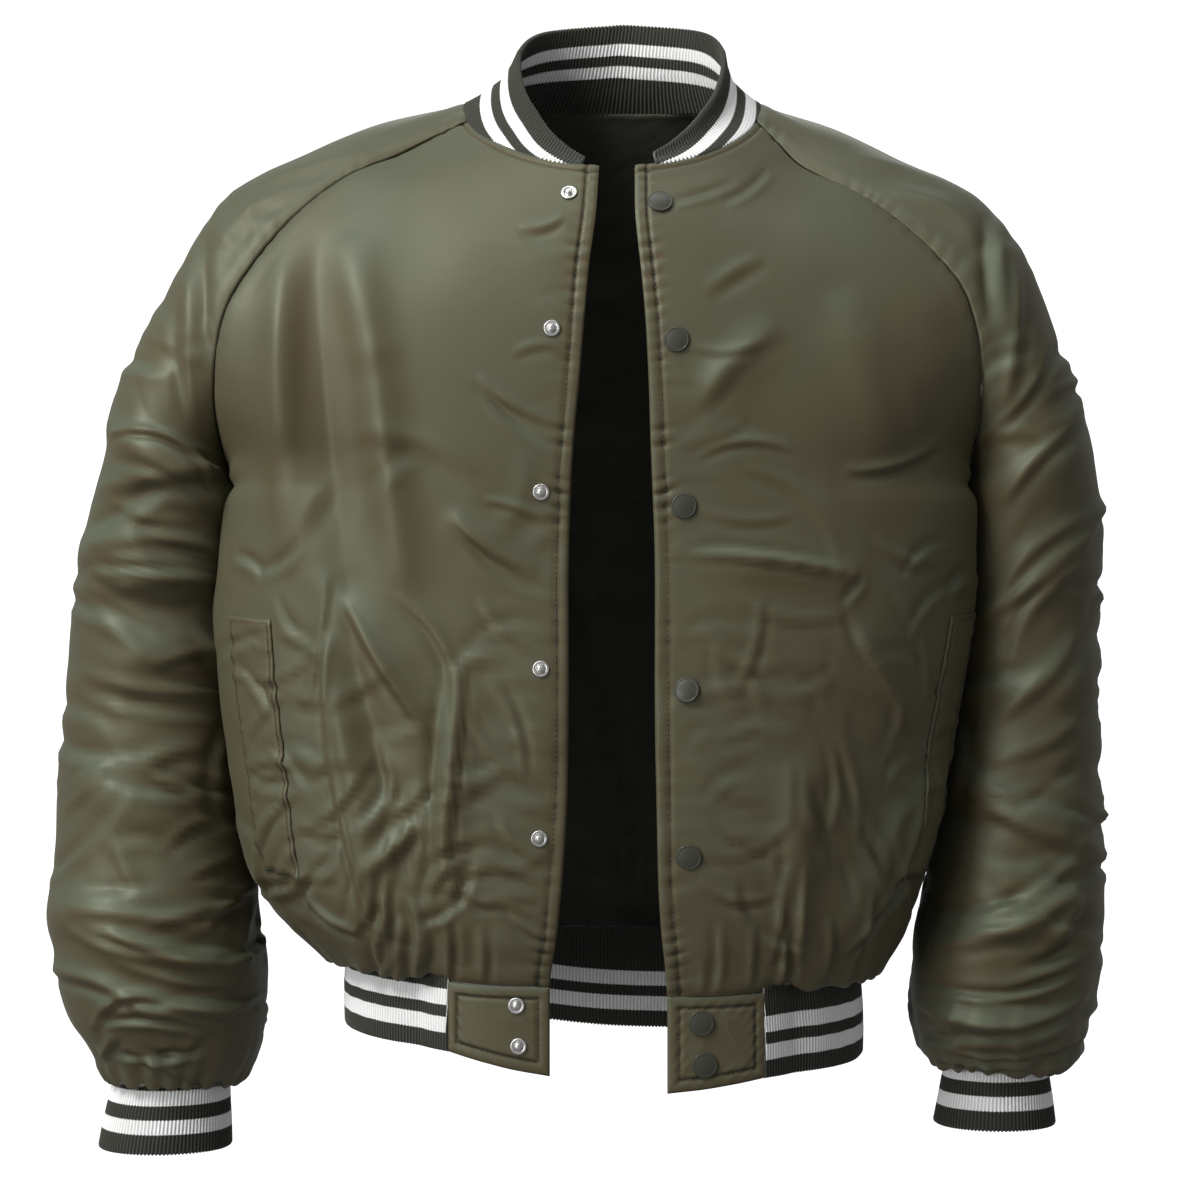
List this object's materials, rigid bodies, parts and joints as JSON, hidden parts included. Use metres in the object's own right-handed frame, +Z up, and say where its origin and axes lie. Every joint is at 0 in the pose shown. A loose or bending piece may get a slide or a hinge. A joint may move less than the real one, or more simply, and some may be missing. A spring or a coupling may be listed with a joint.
{
  "type": "varsity jacket",
  "caption": "Satin varsity jacket worn open, with raglan sleeves, striped rib collar, cuffs and hem, a snap front and welt pockets, empty inside.",
  "frame": {"origin": "centre of the neck opening, level with the side neck points, where the wearer's neck and shoulders hold the jacket", "axes": "+Z up along the wearer; -Y the way the wearer faces; +X to the wearer's left"},
  "size_m": [0.7062, 0.279, 0.7613],
  "materials": {
    "satin_front": "satin",
    "satin_back": "satin",
    "satin_sleeve": "satin",
    "satin_block": "satin",
    "satin_welt": "satin",
    "rib": "matt rib knit",
    "stud": "bright nickel plate",
    "cap": "gloss enamel"
  },
  "bodies": {
    "root": {"front_panel_right": "satin_front", "front_panel_left": "satin_front", "back_panel": "satin_back", "sleeve_right": "satin_sleeve", "sleeve_left": "satin_sleeve", "collar_rib": "rib", "hem_rib": "rib", "cuff_right": "rib", "cuff_left": "rib", "hem_placket_right": "satin_block", "hem_placket_left": "satin_block", "pocket_welt_right": "satin_welt", "pocket_welt_left": "satin_welt", "snap_stud_1": "stud", "snap_cap_1": "cap", "snap_socket_1": "stud", "snap_stud_2": "stud", "snap_cap_2": "cap", "snap_socket_2": "stud", "snap_stud_3": "stud", "snap_cap_3": "cap", "snap_socket_3": "stud", "snap_stud_4": "stud", "snap_cap_4": "cap", "snap_socket_4": "stud", "snap_stud_5": "stud", "snap_cap_5": "cap", "snap_socket_5": "stud", "snap_stud_6": "stud", "snap_cap_6": "cap", "snap_socket_6": "stud", "snap_stud_7": "stud", "snap_cap_7": "cap", "snap_socket_7": "stud"}
  },
  "joints": []
}
